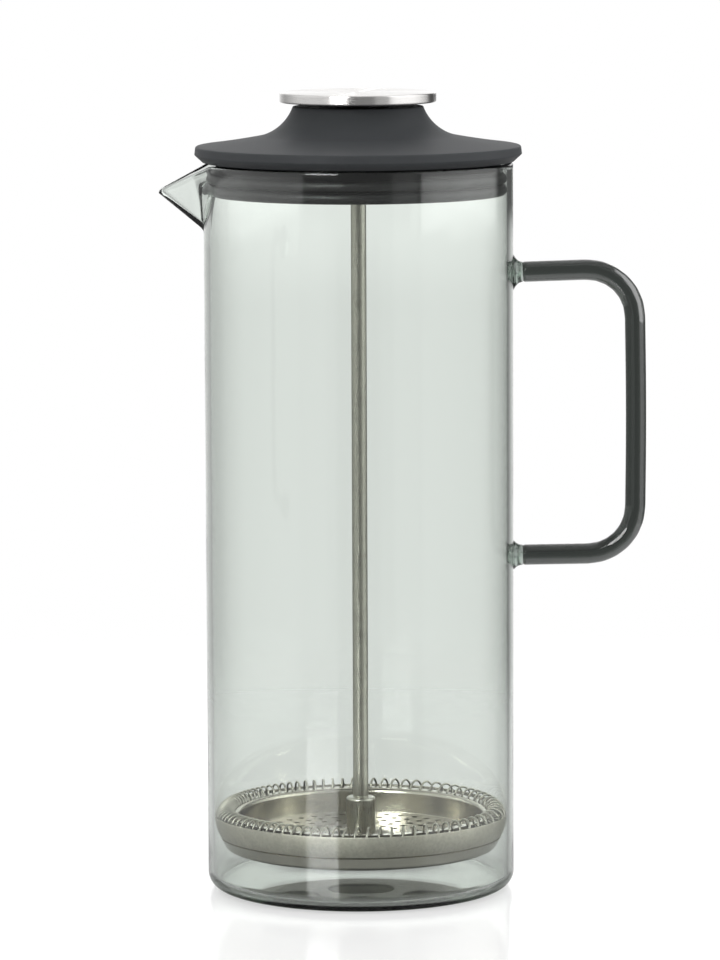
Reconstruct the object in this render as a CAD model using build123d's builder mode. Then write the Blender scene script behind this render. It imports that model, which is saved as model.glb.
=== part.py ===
from build123d import *
from math import cos, pi, radians, sin, tan
import os

# Press with a glass beaker and handle, a hat-shaped lid, and a plunger that carries a coil-edged filter.
# Millimetres, +Z up. The origin is on the table, in the middle of the beaker's base.
# The beak points along -X and the handle along +X.

# ---------------------------------------------------------------- beaker
glass_diameter = 100.0
glass_wall = 1.95
rim_height = 236.6
glass_floor = 2.6
floor_corner_radius = 3.0
base_corner_radius = 5.0
rim_round = 0.9

# ---------------------------------------------------------------- beak
beak_reach = 14.4            # from the outer wall to the tip
beak_tip_drop = 8.7          # from the rim down to the tip
beak_foot_drop = 21.7        # from the rim down to where the ridge leaves the wall
beak_root_half_angle = 20.0
beak_tip_radius = 6.0        # of the outer glass, where the ridge would reach the rim's height
beak_wall = 1.95
beak_crease_round = 1.6
beak_foot_thickening = 4.2    # of the glass, upwards, at the ridge's foot
beak_root_setback = 0.5      # of the channel's side from the wall's own side

# ---------------------------------------------------------------- handle
handle_rod_diameter = 6.65
handle_top_height = 200.7
handle_bottom_height = 108.5
handle_reach = 39.9          # from the outer wall to the middle of the upright
handle_top_corner_radius = 19.0
handle_bottom_corner_radius = 15.5
handle_top_slope = 1.8
handle_bottom_slope = 0.8
weld_diameter_top = 11.8
weld_diameter_bottom = 9.4
weld_length = 3.2
weld_sink = 0.3              # how far the flare's thin end lies under the rod's surface

# ---------------------------------------------------------------- lid cover
lid_seat_gap = 0.3
brim_overhang = 2.8          # past the glass all round
brim_edge_low = 2.3          # heights above the lid's underside
brim_edge_high = 4.9
brim_edge_draft = 0.3
brim_bevel = 2.5
neck_diameter = 42.0
neck_height = 17.7
neck_slope = 20.0            # of the neck's side at its top, from vertical
flare_width = 11.4
flare_height = 8.0
lid_wall = 2.2

# ---------------------------------------------------------------- plug, seal and guide
plug_depth = 10.5            # from the glass rim down to the plug's underside
plug_wall = 2.0
plug_floor = 2.2
plug_lip_thickness = 2.0
gasket_clearance = 0.3       # to the glass
gasket_band = 1.2
rib_height = 3.7
rib_depth = 1.85
rib_count = 2
gasket_overhang = 0.6        # of the seal below the plug
gasket_hook = 2.0            # how far the seal reaches in under the plug
lip_clearance = 0.05
guide_wall = 1.55
guide_collar_diameter = 18.0
guide_collar_thickness = 2.0
guide_bore_clearance = 0.05
tower_wall = 2.4

# ---------------------------------------------------------------- knob and rod
knob_diameter = 50.5
knob_thickness = 3.2
knob_edge_round = 0.5
knob_gap = 1.3               # from the neck's top up to the disc
boss_diameter = 16.0
boss_clearance = 0.4         # in the neck's hole
boss_seat_gap = 0.3          # above the guide's collar
rod_diameter = 5.0
rod_end_chamfer = 0.4
rod_in_disc = 2.0
thread_clearance = 0.05

# ---------------------------------------------------------------- filter
filter_height = 12.9         # from the table up to the cross plate's underside
filter_diameter = 95.5       # over the screen
hub_diameter = 9.5
hub_height = 14.55
hub_edge_round = 0.8
thread_depth = 9.0
thread_end_gap = 0.5
stud_clearance = 0.2
nut_width = 8.0              # across flats
nut_height = 2.7
stud_end = 0.3               # of the stud below the nut

cross_plate_thickness = 0.8
cross_plate_base_diameter = 88.0
cross_plate_rim_diameter = 92.0
cross_plate_depth = 4.15
cross_plate_round = 2.0
cross_opening_count = 6
cross_opening_radius = 27.0
cross_opening_width = 15.0
cross_opening_arc = 16.0     # degrees between the centres of an opening's round ends

screen_thickness = 0.25
screen_gap = 0.1
screen_foot_round = 1.3
screen_hem = 0.4             # above the middle of the coil

coil_wire = 0.7
coil_turn_diameter = 5.5     # of the wire's centre line
coil_turns = 86
coil_crowding = 0.31         # how unevenly the turns are spread round the rim
coil_to_screen = 0.1

coil_plate_thickness = 0.6
coil_plate_rise = 10.2       # from the screen up to the middle of the rim
coil_plate_round = 0.8
coil_plate_draft = 0.6
coil_plate_seat_radius = 7.5  # of the middle, which the hub clamps on the screen
coil_plate_slope_width = 3.0  # from the seat up to the raised floor
coil_plate_floor_rise = 2.05
coil_plate_lip = 0.7         # from the middle of the coil in to the rim's edge
lacing_hole = 1.5
lacing_wall_gap = 1.2        # from the lacing circle in to the plate's wall
perforation_diameter = 2.2
perforation_pitch = 5.0
perforation_first_ring = 14.5
perforation_last_margin = 4.0

os.makedirs("parts", exist_ok=True)

# Places worked out from the sizes above.
glass_radius = glass_diameter / 2
bore_radius = glass_radius - glass_wall
rod_radius = rod_diameter / 2
lid_base = rim_height + lid_seat_gap
neck_top = lid_base + neck_height
brim_radius = glass_radius + brim_overhang
neck_radius = neck_diameter / 2
plug_bottom = rim_height - plug_depth + gasket_overhang
gasket_radius = bore_radius - gasket_clearance
gasket_band_radius = gasket_radius - rib_depth
plug_radius = gasket_band_radius - gasket_band
guide_radius = rod_radius + guide_bore_clearance + guide_wall
disc_base = neck_top + knob_gap
plate_inside = neck_top - lid_wall
boss_radius = boss_diameter / 2
screen_base = filter_height + cross_plate_thickness
coil_plate_base = screen_base + screen_thickness
hub_base = coil_plate_base + coil_plate_thickness
hub_top = hub_base + hub_height
coil_plane = coil_plate_base + coil_plate_rise
screen_radius = filter_diameter / 2
turn_radius = coil_turn_diameter / 2
coil_radius = screen_radius - screen_thickness - coil_to_screen - coil_wire / 2 - turn_radius
lacing_radius = coil_radius - turn_radius
stud_hole_radius = rod_radius + stud_clearance

# The beak is a cone with its point at the ridge's foot: each level outline is the rim's, made smaller.
beak_foot = rim_height - beak_foot_drop
beak_full_reach = beak_reach * beak_foot_drop / (beak_foot_drop - beak_tip_drop)
root_angle = radians(beak_root_half_angle)
root_half_width = glass_radius * sin(root_angle)
smallest_size = 0.08
inner_foot = beak_foot + beak_foot_thickening
above_rim = 1.0
crease_margin = 1.0          # of a crease's middle from the foot, the rim and the middle plane

# The lip falls in a straight line, seen from the side, from the beak's roots to its tip.
lip_root = glass_radius * cos(root_angle)
lip_fall = beak_tip_drop / (glass_radius + beak_reach - lip_root)
lip_far = glass_radius + beak_full_reach + above_rim


def beak_outline(size, height, wall_radius, reach, half_width, tip_radius):
    """Level outline of the beak at a share of its full size: a chord in the wall and a round tip."""
    chord = wall_radius * (1 - size * (1 - cos(root_angle)))
    with BuildSketch(Plane.XY.offset(height)) as outline:
        with BuildLine():
            Line((-chord, -size * half_width), (-chord, size * half_width))
            CenterArc((-wall_radius - size * (reach - tip_radius), 0), size * tip_radius, 0, 360)
        make_hull()
    return outline.sketch


def outer_beak_outline(size):
    """Outline of the glass outside."""
    height = beak_foot + size * beak_foot_drop
    return beak_outline(size, height, glass_radius, beak_full_reach, root_half_width, beak_tip_radius)


def inner_beak_outline(size, height):
    """Outline of the channel inside, which keeps the beak's wall at the rim."""
    reach = beak_full_reach + glass_wall - beak_wall
    half_width = root_half_width * bore_radius / glass_radius - beak_root_setback
    return beak_outline(size, height, bore_radius, reach, half_width, beak_tip_radius - beak_wall)


# ================================================================= jug
with BuildPart() as beaker_space:
    with BuildSketch(Plane.XY.offset(glass_floor)):
        Circle(bore_radius)
    extrude(amount=rim_height)
    fillet(beaker_space.edges().group_by(Axis.Z)[0], floor_corner_radius)

with BuildPart() as glass_beaker:
    with BuildSketch():
        Circle(glass_radius)
    extrude(amount=rim_height)
    fillet(glass_beaker.edges().group_by(Axis.Z)[0], base_corner_radius)
    loft([outer_beak_outline(smallest_size), outer_beak_outline(1.0)], ruled=True)
    creases = glass_beaker.edges().filter_by(
        lambda edge: -glass_radius < edge.center().X < -lip_root
        and beak_foot + crease_margin < edge.center().Z < rim_height - crease_margin
        and abs(edge.center().Y) > crease_margin
    )
    fillet(creases, beak_crease_round)
    with BuildSketch(Plane.XZ):
        with BuildLine():
            Polyline(
                (-lip_root, rim_height),
                (-lip_far, rim_height - (lip_far - lip_root) * lip_fall),
                (-lip_far, rim_height + above_rim),
                (-lip_root, rim_height + above_rim),
                close=True,
            )
        make_face()
    extrude(amount=glass_radius, both=True, mode=Mode.SUBTRACT)
    add(beaker_space.part, mode=Mode.SUBTRACT)
    loft(
        [inner_beak_outline(smallest_size, inner_foot), inner_beak_outline(1.0, rim_height)],
        ruled=True,
        mode=Mode.SUBTRACT,
    )
    rim_edges = glass_beaker.edges().filter_by(GeomType.CIRCLE).group_by(Axis.Z)[-1]
    chamfer(rim_edges, rim_round / 2)
glass_beaker.part.label = "glass_beaker"
export_step(glass_beaker.part, "parts/glass_beaker.step")

# The handle's arms rise a little outwards, so that their far ends stand higher than the welds.
top_rise = handle_reach * tan(radians(handle_top_slope))
bottom_rise = handle_reach * tan(radians(handle_bottom_slope))
upright_x = glass_radius + handle_reach
handle_ends = (
    (handle_top_height, handle_top_slope, weld_diameter_top),
    (handle_bottom_height, handle_bottom_slope, weld_diameter_bottom),
)
with BuildPart() as glass_handle:
    with BuildLine(Plane.XZ) as rod_line:
        FilletPolyline(
            (bore_radius, handle_top_height),
            (upright_x, handle_top_height + top_rise),
            (upright_x, handle_bottom_height + bottom_rise),
            (bore_radius, handle_bottom_height),
            radius=[handle_top_corner_radius, handle_bottom_corner_radius],
        )
    with BuildSketch(Plane(origin=rod_line.line @ 0, z_dir=rod_line.line % 0)):
        Circle(handle_rod_diameter / 2)
    sweep(path=rod_line.line)
    for height, slope, weld_diameter in handle_ends:
        with Locations(Location((bore_radius, 0, height), (0, 90 - slope, 0))):
            Cone(
                weld_diameter / 2,
                handle_rod_diameter / 2 - weld_sink,
                weld_length + glass_wall,
                align=(Align.CENTER, Align.CENTER, Align.MIN),
            )
    Cylinder(
        glass_radius,
        rim_height,
        align=(Align.CENTER, Align.CENTER, Align.MIN),
        mode=Mode.SUBTRACT,
    )
glass_handle.part.label = "glass_handle"
export_step(glass_handle.part, "parts/glass_handle.step")

# ================================================================= lid
neck_side = (sin(radians(neck_slope)), -cos(radians(neck_slope)))
flare_foot = (neck_radius + flare_width, lid_base + flare_height)
brim_top = (brim_radius - brim_edge_draft, lid_base + brim_edge_high)
with BuildPart() as lid_shell:
    with BuildSketch(Plane.XZ):
        with BuildLine():
            flare = TangentArc((neck_radius, neck_top), flare_foot, tangent=neck_side)
            TangentArc(flare_foot, brim_top, tangent=flare % 1)
            Polyline(
                brim_top,
                (brim_radius, lid_base + brim_edge_low),
                (brim_radius - brim_bevel, lid_base),
                (0, lid_base),
                (0, neck_top),
                (neck_radius, neck_top),
            )
        make_face()
    revolve(axis=Axis.Z)
    offset(amount=-lid_wall, openings=lid_shell.faces().sort_by(Axis.Z)[0])
    with BuildSketch(Plane.XY.offset(plate_inside)):
        Circle(boss_radius + boss_clearance)
    extrude(amount=2 * lid_wall, mode=Mode.SUBTRACT)
lid_shell.part.label = "lid_shell"
export_step(lid_shell.part, "parts/lid_shell.step")


# The cover's wall slopes in towards its lower edge, and the plug's lip fits inside that edge.
bevel_length = (brim_bevel**2 + brim_edge_low**2) ** 0.5
lip_radius = brim_radius - brim_bevel - lid_wall * bevel_length / brim_edge_low - lip_clearance
collar_base = plate_inside - guide_collar_thickness
with BuildPart() as lid_plug:
    with BuildSketch(Plane.XZ):
        with BuildLine():
            Polyline(
                (guide_radius, plug_bottom),
                (plug_radius, plug_bottom),
                (plug_radius, lid_base),
                (lip_radius, lid_base),
                (lip_radius, lid_base + plug_lip_thickness),
                (plug_radius - plug_wall, lid_base + plug_lip_thickness),
                (plug_radius - plug_wall, plug_bottom + plug_floor),
                (guide_radius + tower_wall, plug_bottom + plug_floor),
                (guide_radius + tower_wall, collar_base),
                (guide_radius, collar_base),
                close=True,
            )
        make_face()
    revolve(axis=Axis.Z)
lid_plug.part.label = "lid_plug"
export_step(lid_plug.part, "parts/lid_plug.step")

gasket_base = plug_bottom - gasket_overhang
with BuildPart() as lid_gasket:
    with BuildSketch(Plane.XZ):
        with BuildLine():
            for rib in range(rib_count):
                rib_base = gasket_base + rib * rib_height
                ThreePointArc(
                    (gasket_band_radius, rib_base),
                    (gasket_radius, rib_base + rib_height / 2),
                    (gasket_band_radius, rib_base + rib_height),
                )
            Polyline(
                (gasket_band_radius, gasket_base + rib_count * rib_height),
                (gasket_band_radius, lid_base),
                (plug_radius, lid_base),
                (plug_radius, plug_bottom),
                (plug_radius - gasket_hook, plug_bottom),
                (plug_radius - gasket_hook, gasket_base),
                (gasket_band_radius, gasket_base),
            )
        make_face()
    revolve(axis=Axis.Z)
lid_gasket.part.label = "lid_gasket"
export_step(lid_gasket.part, "parts/lid_gasket.step")

with BuildPart() as rod_guide:
    with BuildSketch(Plane.XY.offset(plug_bottom)):
        Circle(guide_radius)
    extrude(amount=plate_inside - plug_bottom)
    with BuildSketch(Plane.XY.offset(collar_base)):
        Circle(guide_collar_diameter / 2)
    extrude(amount=guide_collar_thickness)
    with BuildSketch(Plane.XY.offset(plug_bottom)):
        Circle(rod_radius + guide_bore_clearance)
    extrude(amount=plate_inside - plug_bottom, mode=Mode.SUBTRACT)
rod_guide.part.label = "rod_guide"
export_step(rod_guide.part, "parts/rod_guide.step")

# ================================================================= plunger
thread_hole_radius = rod_radius + thread_clearance
with BuildPart() as knob_disc:
    with BuildSketch(Plane.XY.offset(disc_base)):
        Circle(knob_diameter / 2)
    extrude(amount=knob_thickness)
    fillet(knob_disc.edges(), knob_edge_round)
    with BuildSketch(Plane.XY.offset(disc_base)):
        Circle(thread_hole_radius)
    extrude(amount=rod_in_disc + thread_clearance, mode=Mode.SUBTRACT)
knob_disc.part.label = "knob_disc"
export_step(knob_disc.part, "parts/knob_disc.step")

boss_base = plate_inside + boss_seat_gap
with BuildPart() as knob_boss:
    with BuildSketch(Plane.XY.offset(boss_base)):
        Circle(boss_diameter / 2)
        Circle(thread_hole_radius, mode=Mode.SUBTRACT)
    extrude(amount=disc_base - boss_base)
knob_boss.part.label = "knob_boss"
export_step(knob_boss.part, "parts/knob_boss.step")

rod_base = hub_top - thread_depth + thread_end_gap
with BuildPart() as plunger_rod:
    with BuildSketch(Plane.XY.offset(rod_base)):
        Circle(rod_radius)
    extrude(amount=disc_base + rod_in_disc - rod_base)
    chamfer(plunger_rod.edges().filter_by(GeomType.CIRCLE), rod_end_chamfer)
plunger_rod.part.label = "plunger_rod"
export_step(plunger_rod.part, "parts/plunger_rod.step")

# ================================================================= filter
stud_base = filter_height - nut_height - stud_end
with BuildPart() as filter_hub:
    with BuildSketch(Plane.XY.offset(hub_base)):
        Circle(hub_diameter / 2)
    extrude(amount=hub_height)
    fillet(filter_hub.edges().group_by(Axis.Z)[-1], hub_edge_round)
    with BuildSketch(Plane.XY.offset(stud_base)):
        Circle(rod_radius)
    extrude(amount=hub_base - stud_base)
    with BuildSketch(Plane.XY.offset(hub_top - thread_depth)):
        Circle(thread_hole_radius)
    extrude(amount=thread_depth, mode=Mode.SUBTRACT)
filter_hub.part.label = "filter_hub"
export_step(filter_hub.part, "parts/filter_hub.step")

with BuildPart() as clamp_nut:
    with BuildSketch(Plane.XY.offset(filter_height - nut_height)):
        RegularPolygon(nut_width / 2, side_count=6, major_radius=False)
        Circle(thread_hole_radius, mode=Mode.SUBTRACT)
    extrude(amount=nut_height)
clamp_nut.part.label = "clamp_nut"
export_step(clamp_nut.part, "parts/clamp_nut.step")

cross_base_radius = cross_plate_base_diameter / 2
cross_rim_radius = cross_plate_rim_diameter / 2
cross_rim_top = filter_height + cross_plate_depth
with BuildPart() as cross_plate:
    with BuildSketch(Plane.XZ):
        with BuildLine():
            FilletPolyline(
                (stud_hole_radius, filter_height),
                (cross_base_radius, filter_height),
                (cross_rim_radius, cross_rim_top),
                radius=cross_plate_round,
            )
            offset(amount=cross_plate_thickness, side=Side.LEFT)
        make_face()
    revolve(axis=Axis.Z)
    with BuildSketch(Plane.XY.offset(filter_height)):
        for opening in range(cross_opening_count):
            start = (opening + 0.5) * 360 / cross_opening_count - cross_opening_arc / 2
            SlotArc(
                CenterArc((0, 0), cross_opening_radius, start, cross_opening_arc),
                cross_opening_width,
            )
    extrude(amount=cross_plate_thickness, mode=Mode.SUBTRACT)
cross_plate.part.label = "cross_plate"
export_step(cross_plate.part, "parts/cross_plate.step")

# The screen lies on the cross plate, goes up inside its wall and over its rim, and then round the coil.
wall_flare = cross_rim_radius - cross_base_radius
wall_length = (wall_flare**2 + cross_plate_depth**2) ** 0.5
wall_offset = (cross_plate_thickness + screen_gap) * wall_length / cross_plate_depth
screen_lip = cross_rim_top + cross_plate_thickness * wall_flare / wall_length + screen_gap
wall_slant = wall_flare / cross_plate_depth
screen_foot = cross_base_radius + (screen_base - filter_height) * wall_slant - wall_offset
screen_bend = cross_base_radius + (screen_lip - filter_height) * wall_slant - wall_offset
with BuildPart() as mesh_screen:
    with BuildSketch(Plane.XZ):
        with BuildLine():
            FilletPolyline(
                (stud_hole_radius, screen_base),
                (screen_foot, screen_base),
                (screen_bend, screen_lip),
                (cross_rim_radius, screen_lip),
                radius=[screen_foot_round, screen_gap],
            )
            TangentArc((screen_radius, coil_plane), (cross_rim_radius, screen_lip), tangent=(0, -1))
            Line((screen_radius, coil_plane), (screen_radius, coil_plane + screen_hem))
            offset(amount=screen_thickness, side=Side.LEFT)
        make_face()
    revolve(axis=Axis.Z)
mesh_screen.part.label = "mesh_screen"
export_step(mesh_screen.part, "parts/mesh_screen.step")


def turn_angle(turn):
    """Angle round the rim, in radians, at a count of turns: they crowd together on the beak's side."""
    even = 2 * pi * turn / coil_turns
    return even + coil_crowding * sin(even)


def rim_point(turn, radius):
    """Point on the rim, seen from above, at a count of turns."""
    angle = turn_angle(turn)
    return (radius * cos(angle), radius * sin(angle))


plate_wall_top = lacing_radius - lacing_wall_gap
plate_wall_foot = plate_wall_top - coil_plate_draft
plate_rim_base = coil_plane - coil_plate_thickness / 2
raised_floor_start = coil_plate_seat_radius + coil_plate_slope_width
raised_floor_base = coil_plate_base + coil_plate_floor_rise
perforated_width = plate_wall_foot - perforation_last_margin - perforation_first_ring
ring_count = int(perforated_width / perforation_pitch) + 1
with BuildPart() as coil_plate:
    with BuildSketch(Plane.XZ):
        with BuildLine():
            FilletPolyline(
                (stud_hole_radius, coil_plate_base),
                (coil_plate_seat_radius, coil_plate_base),
                (raised_floor_start, raised_floor_base),
                (plate_wall_foot, raised_floor_base),
                (plate_wall_top, plate_rim_base),
                (coil_radius - coil_plate_lip, plate_rim_base),
                radius=coil_plate_round,
            )
            offset(amount=coil_plate_thickness, side=Side.LEFT)
        make_face()
    revolve(axis=Axis.Z)
    with BuildSketch(Plane.XY.offset(plate_rim_base)):
        with Locations(*[rim_point(turn + 0.5, lacing_radius) for turn in range(coil_turns)]):
            Circle(lacing_hole / 2)
    extrude(amount=coil_plate_thickness, mode=Mode.SUBTRACT)
    with BuildSketch(Plane.XY.offset(raised_floor_base)):
        for ring in range(ring_count):
            ring_radius = perforation_first_ring + ring * perforation_pitch
            with PolarLocations(ring_radius, int(2 * pi * ring_radius / perforation_pitch)):
                Circle(perforation_diameter / 2)
    extrude(amount=coil_plate_thickness, mode=Mode.SUBTRACT)
coil_plate.part.label = "coil_plate"
export_step(coil_plate.part, "parts/coil_plate.step")

# Each turn is two half circles that stand upright in the rim: over the plate inwards, under it outwards.
with BuildPart() as coil_spring:
    with BuildLine() as wire:
        for half_turn in range(2 * coil_turns - 1):
            over = half_turn % 2 == 0
            radii = (coil_radius + turn_radius, coil_radius - turn_radius)
            start = Vector(*rim_point(half_turn / 2, radii[0] if over else radii[1]), coil_plane)
            end = Vector(*rim_point(half_turn / 2 + 0.5, radii[1] if over else radii[0]), coil_plane)
            rise = (end - start).length / 2 * (1 if over else -1)
            ThreePointArc(start, (start + end) / 2 + Vector(0, 0, rise), end)
    with BuildSketch(Plane(origin=wire.line @ 0, z_dir=(0, 0, 1))):
        Circle(coil_wire / 2)
    sweep(path=wire.wires()[0])
coil_spring.part.label = "coil_spring"
export_step(coil_spring.part, "parts/coil_spring.step")
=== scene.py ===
"""Looks of a press: tinted glass beaker and handle, matte lid, steel plunger and coil-edged filter.

Metres, +Z up. The press stands on z = 0 round the Z axis, with its beak along -X and its handle along +X.
"""

import bpy
import numpy as np
from mathutils import Matrix, Vector


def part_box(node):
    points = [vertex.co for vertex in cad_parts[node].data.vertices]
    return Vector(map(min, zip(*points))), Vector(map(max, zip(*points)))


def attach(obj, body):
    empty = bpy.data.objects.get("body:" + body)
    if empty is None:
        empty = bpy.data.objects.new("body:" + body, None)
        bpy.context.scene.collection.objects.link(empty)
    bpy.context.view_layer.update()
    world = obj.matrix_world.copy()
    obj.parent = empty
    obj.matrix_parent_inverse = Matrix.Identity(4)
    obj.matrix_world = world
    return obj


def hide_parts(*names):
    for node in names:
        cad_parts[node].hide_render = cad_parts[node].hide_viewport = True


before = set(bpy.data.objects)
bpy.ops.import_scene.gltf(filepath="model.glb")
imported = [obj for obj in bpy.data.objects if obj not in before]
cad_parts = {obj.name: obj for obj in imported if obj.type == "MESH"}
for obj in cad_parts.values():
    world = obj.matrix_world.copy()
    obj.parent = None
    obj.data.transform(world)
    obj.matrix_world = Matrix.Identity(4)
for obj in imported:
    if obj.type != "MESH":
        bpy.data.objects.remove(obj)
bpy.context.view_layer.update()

# ================================================================= sizes
# Places come from the frame's own boxes. What a box can't say is named here.
GLASS_WALL = 0.00195
GLASS_FLOOR = 0.0026
BASE_CORNER_ROUND = 0.005
FLOOR_CORNER_ROUND = 0.003
BASE_HOLLOW = 0.0007            # how far the underside rises in its middle
BASE_RING_WIDTH = 0.004         # of the ring that the beaker stands on
WALL_COLUMNS = 448
BEAK_CROWDING = 0.85            # how much closer the columns stand at the beak
HOLLOW_ROWS = 14
FLOOR_ROWS = 12
MIDDLE_RINGS = (0.04, 0.03)     # innermost ring under and on the floor, as a share of the outermost
BASE_RINGS = (0.5, 0.08)        # where the standing ring gets rows, as shares of its width
CORNER_ROWS = 16
FLOOR_CORNER_ROWS = 12
SHAFT_ROWS = 24
BEAK_ROWS = 53
RIM_ROWS = 11

BEAK_FOOT_DROP = 0.0217
BEAK_ROOT_HALF_ANGLE = np.radians(20.0)
BEAK_TIP_ROUND = 0.006
BEAK_TIP_DROP = 0.0087
BEAK_WALL = 0.0019
BEAK_FOOT_LAG = 0.0013          # how much higher the channel's foot is than the ridge's
BEAK_BLEND_RIDGE = 0.0012       # how widely the beak runs into the wall, at its ridge and at its roots
BEAK_BLEND_ROOT = 0.011
BLEND_REACH = 2.5               # root blends below the beak's foot at which the finer rows start
LIP_ROUNDS = 60                 # of insertion, after which the lip's height no longer changes
RIM_ROUND = 0.0011

HANDLE_TOP_ROUND = 0.0155
HANDLE_BOTTOM_ROUND = 0.0155
HANDLE_TOP_LEAN = 0.0008        # of the upright's ends, in from its middle
HANDLE_BOTTOM_LEAN = 0.0005
HANDLE_BOW = 1.5                # radius of the upright's bow
HANDLE_TOP_SLOPE = np.radians(1.8)
HANDLE_BOTTOM_SLOPE = np.radians(0.8)
HANDLE_TOP_WELD = 0.2007
HANDLE_BOTTOM_WELD = 0.1085
HANDLE_ROD = 0.00665
WELD_TOP = 0.0058               # radius of the foot's edge on the wall
WELD_BOTTOM = 0.0048
WELD_LENGTH = 0.0029
WELD_GAP = 0.00004              # between glass and glass
WELD_FLARE = 2.2                # power of the foot's taper
WELD_RINGS = (0.35, 0.7)        # extra rings on the wall, as shares of the foot's radius
WELD_END_RING = 0.6             # extra ring on the end, as a share of the rod's radius
WELD_ROWS = 16
WELD_COLUMNS = 56
ROD_END_ROUND = 0.0003
HANDLE_ROWS = 260
HANDLE_COLUMNS = 48
HANDLE_EASING = (1, 2, 3, 2, 1)   # weights of neighbouring points, which soften the ends of the bends

LID_WALL = 0.0022
BRIM_EDGE_LOW = 0.0023
BRIM_EDGE_HIGH = 0.0049
BRIM_EDGE_DRAFT = 0.0003
BRIM_BEVEL = 0.0025
BRIM_EDGE_ROUND = 0.0007
BRIM_CLEAR = 1.4                # the inner line ends this many wall thicknesses in from the brim
BRIM_STEPS = 24
NECK_RADIUS = 0.021
NECK_EDGE_ROUND = 0.0004
NECK_SLOPE = np.radians(20.0)
FLARE_WIDTH = 0.0114
FLARE_HEIGHT = 0.008
FLARE_STEPS = 40
PLATE_CLEAR = 0.0002            # the inner line ends this far under the cover's top plate
PLATE_CORNER = 0.0003
HIDDEN_BEVEL = 0.0001           # on edges that nothing shows
BOSS_CLEARANCE = 0.0004
RIB_DEPTH = 0.00185
RIB_HEIGHT = 0.0037
RIB_COUNT = 2
RIB_STEPS = 13
GASKET_HOOK = 0.002
GASKET_BAND = 0.0012
GASKET_CLOSER = 0.0002          # to the glass than its solid
GASKET_STEP = 0.0002            # the lowest rib stands out from the base by this

KNOB_ROUND = 0.0005
THREAD_ROUND = 0.0001
THREAD_HOLE = 0.00255
THREAD_DEPTH = 0.009
ROD_IN_DISC = 0.00205
HUB_ROUND = 0.0008
STEEL_ROUND = 0.0002
HUB_HEIGHT = 0.01455

COIL_WIRE = 0.0007
COIL_TURNS = 86
COIL_TURN_RADIUS = 0.00275
COIL_RADIUS = 0.0443
COIL_PLANE = 0.02415
COIL_CROWDING = 0.31
COIL_STEPS = 28                 # points round each turn
COIL_COLUMNS = 10

SCREEN_THICKNESS = 0.00025
SCREEN_HOLE = 0.0027
SCREEN_GAP = 0.0001
SCREEN_FOOT_ROUND = 0.0013
SCREEN_HEM = 0.0004
SCREEN_BOWL_STEPS = 24
CROSS_THICKNESS = 0.0008
CROSS_BASE_RADIUS = 0.044
CROSS_DEPTH = 0.00415

LID_COLUMNS = 320
KNOB_COLUMNS = 256
HUB_COLUMNS = 128
ROD_COLUMNS = 96
SCREEN_COLUMNS = 384
ARC_STEPS = 7
EDGE_SUPPORT = 0.00025          # where a flat gets one more ring, so that it stays flat to its edge

# ---------------------------------------------------------------- camera and stage
CAMERA_DISTANCE = 1.700
CAMERA_HEIGHT = 0.345
CAMERA_SIDE = 0.00016
CAMERA_PITCH = np.radians(7.1)
CAMERA_ROLL = np.radians(-0.24)
CAMERA_LENS = 197.8
CAMERA_REACH = 20.0
FLOOR_RADIUS = 0.6
FLOOR_DROP = 0.00005
FLOOR_CORNERS = 128
TABLE_WHITE = 0.72
TABLE_ROUGHNESS = 0.12
TABLE_GLOW = 0.5                # what the table adds to what the lamps give it, towards the camera
TABLE_FADE = (0.25, 0.55)       # radii between which the table gives way to the white round it

DEGREES = 180 / np.pi           # in a radian

# Brightness of the studio, 1 being white, as (degrees round the press, level). 0 is towards the camera, and
# the handle's side is positive. The upper part is what surfaces near the rim mirror, and the lower part is
# the far table, which the wall and the rod mirror.
UPPER_RING = (
    (-180, 1.0), (-174, 1.0), (-165, 0.85), (-136, 0.5), (-100, 1.12), (-62, 1.06), (-42.5, 0.92),
    (-41, 0.3), (24, 0.3), (26.5, 0.58), (45, 0.58), (46.2, 0.1), (47, 0.2), (48.5, 1.6),
    (60, 2.1), (88, 2.1), (112, 1.35), (124, 0.9), (128, 0.1), (166, 0.1), (173, 1.0), (180, 1.0),
)
LOWER_RING = (
    (-180, 1.0), (-173, 1.0), (-165, 0.7), (-155, 0.5), (-136, 0.3), (-94, 0.5), (-60, 0.62),
    (-18, 0.62), (-15, 0.25), (25, 0.25), (27, 0.5), (45, 0.5), (46.2, 0.3), (48.5, 0.62),
    (104, 0.62), (119, 0.3), (140, 0.05), (148, 0.1), (156, 0.4), (173, 1.0), (180, 1.0),
)
BRIGHTEST = 2.2                 # what white stands for in the rings' ramps
# Each pair is the degrees between which a part of the studio comes in, ends or gives way to the next. They
# are round the press for the strip's two sides and BACK_TURN, and above the horizon for the rest.
RING_SPLIT = (-4.6, -4.1)
UPPER_TOP = (52.0, 58.0)
STRIP_LEFT = (-41.8, -40.8)     # lamp in front, to the left
STRIP_RIGHT = (-17.7, -16.7)
STRIP_BOTTOM = (9.4, 11.4)
STRIP_TOP = (37.0, 43.0)
STRIP_LEVEL = 11.0
OVERHEAD_RISE = (50.0, 62.0)
OVERHEAD_LEVEL = 0.85
BACK_TURN = (150.0, 160.0)      # panel behind the press
BACK_RISE = (0.5, 1.5)
BACK_LEVEL = 1.25
BACKDROP_SPLIT = (-5.3, -4.3)
BACKDROP_LOW = 0.83             # levels of the backdrop through glass, below and above the split
BACKDROP_HIGH = 0.94
SEE_THROUGH = 0.6               # share of the backdrop that doesn't depend on the panels
FILL_LEVEL = 0.46               # for light that comes in evenly from everywhere
LAMPS = (                       # name, place, width in metres and power in watts
    ("top_lamp", (0.0, -0.3, 1.6), 1.2, 3.5),
    ("left_lamp", (-1.3, -0.7, 0.5), 1.0, 5.0),
    ("right_lamp", (1.3, -0.5, 0.5), 1.0, 8.0),
)


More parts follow.
